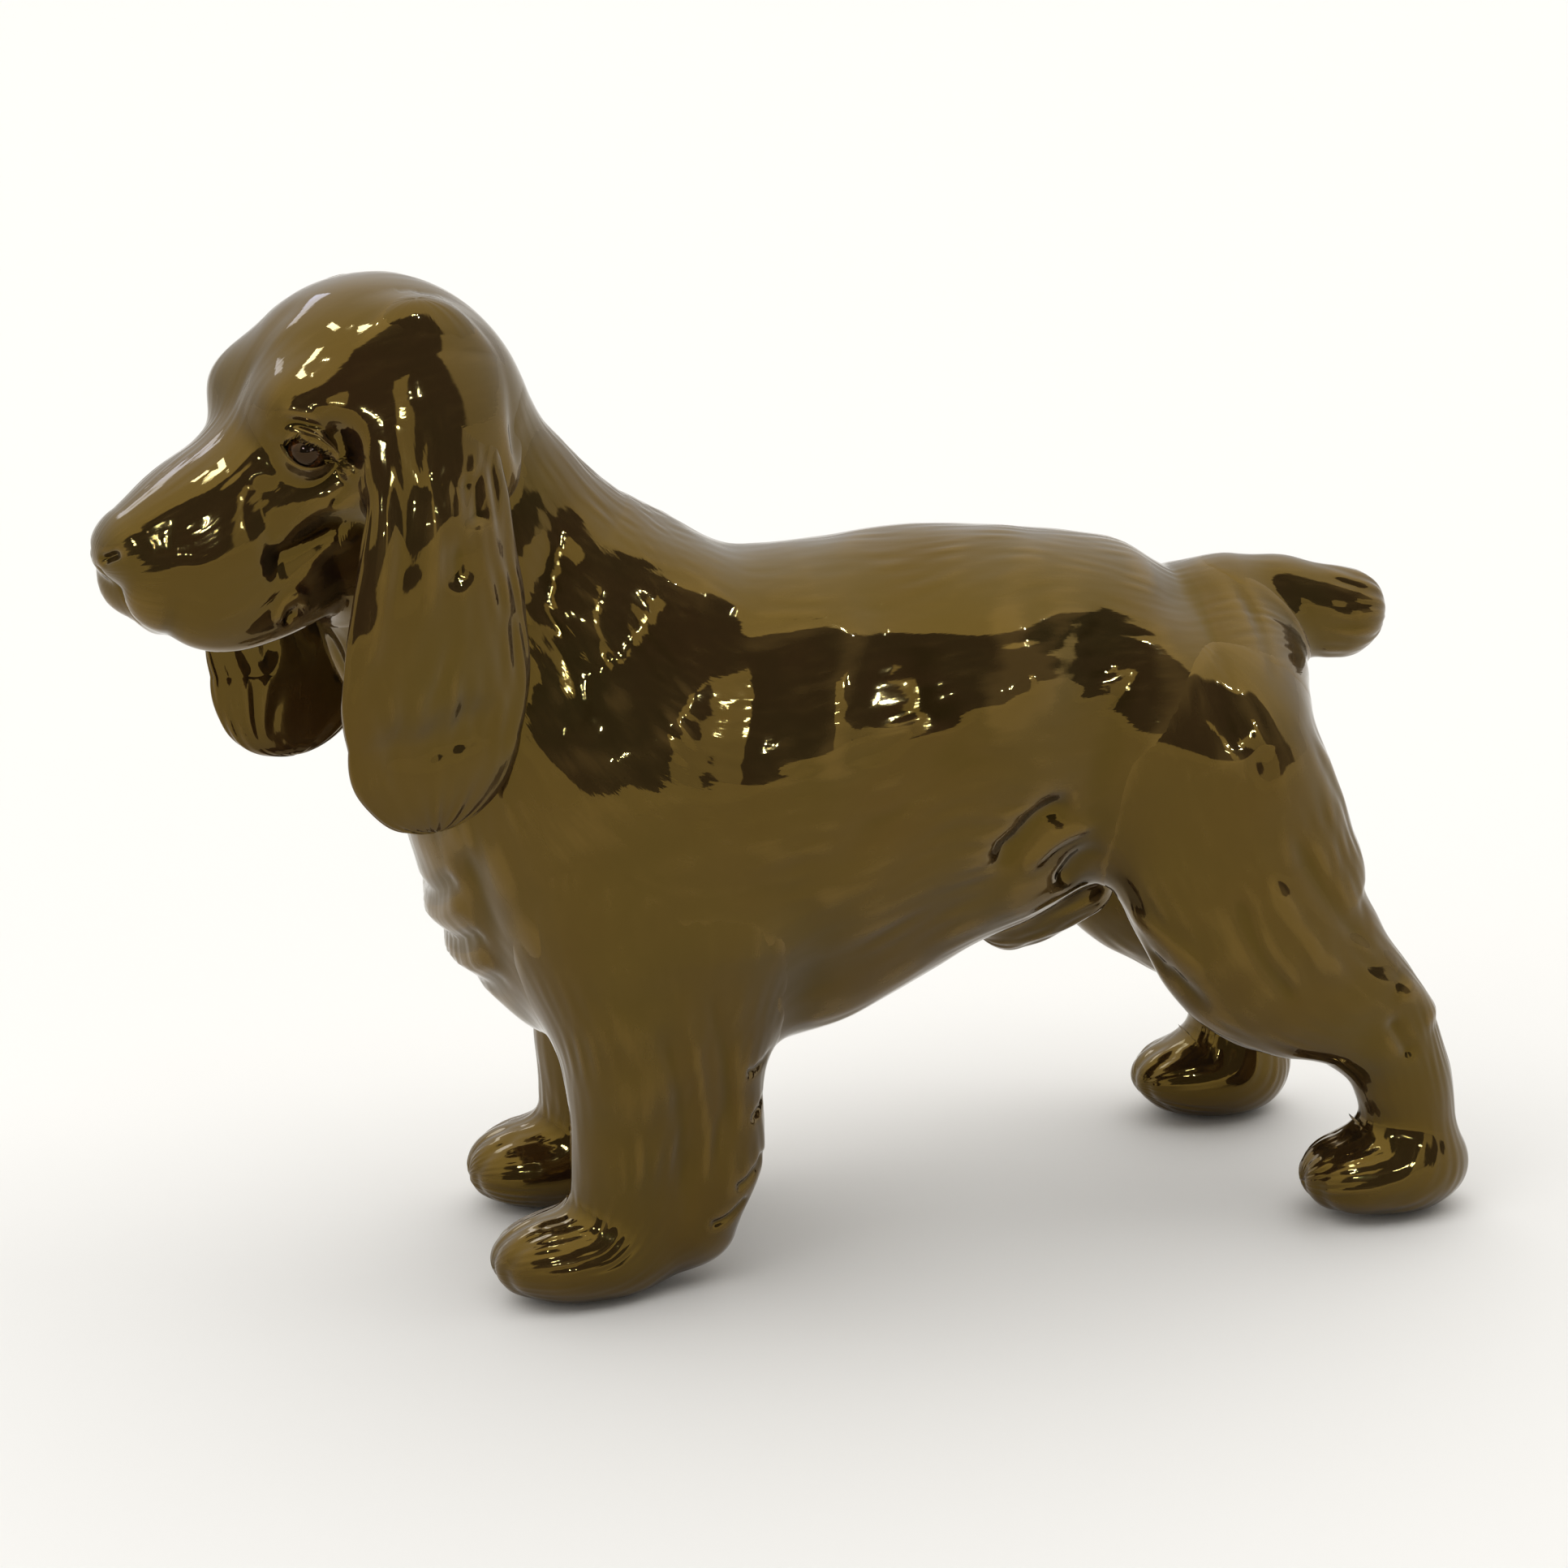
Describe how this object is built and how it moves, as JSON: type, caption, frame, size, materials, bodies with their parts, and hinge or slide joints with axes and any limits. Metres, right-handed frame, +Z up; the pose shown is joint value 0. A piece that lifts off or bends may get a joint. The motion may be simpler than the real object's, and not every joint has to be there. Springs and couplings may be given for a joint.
{
  "type": "dog figurine",
  "caption": "Glazed ceramic spaniel figurine standing square on flat soles, head turned a little to its left, with long hanging ears and a short tail held level.",
  "frame": {"origin": "on the floor the figure stands on, under the middle of its bounding box", "axes": "+X towards the nose along the body, +Y to the dog's left, +Z up"},
  "size_m": [0.1758, 0.0526, 0.1289],
  "materials": {
    "brown_glaze": "thick dark brown gloss glaze over a ceramic body of unknown kind, darker where it pools and lighter where it runs thin over ridges",
    "eye_enamel": "near-black brown eye, taken to be painted under the same gloss glaze"
  },
  "bodies": {
    "root": {"body_shell": "brown_glaze", "head_shell": "brown_glaze", "left_ear": "brown_glaze", "right_ear": "brown_glaze", "left_eye": "eye_enamel", "right_eye": "eye_enamel", "left_foreleg": "brown_glaze", "right_foreleg": "brown_glaze", "left_hindleg": "brown_glaze", "right_hindleg": "brown_glaze", "tail": "brown_glaze", "belly_tuft": "brown_glaze"}
  },
  "joints": []
}
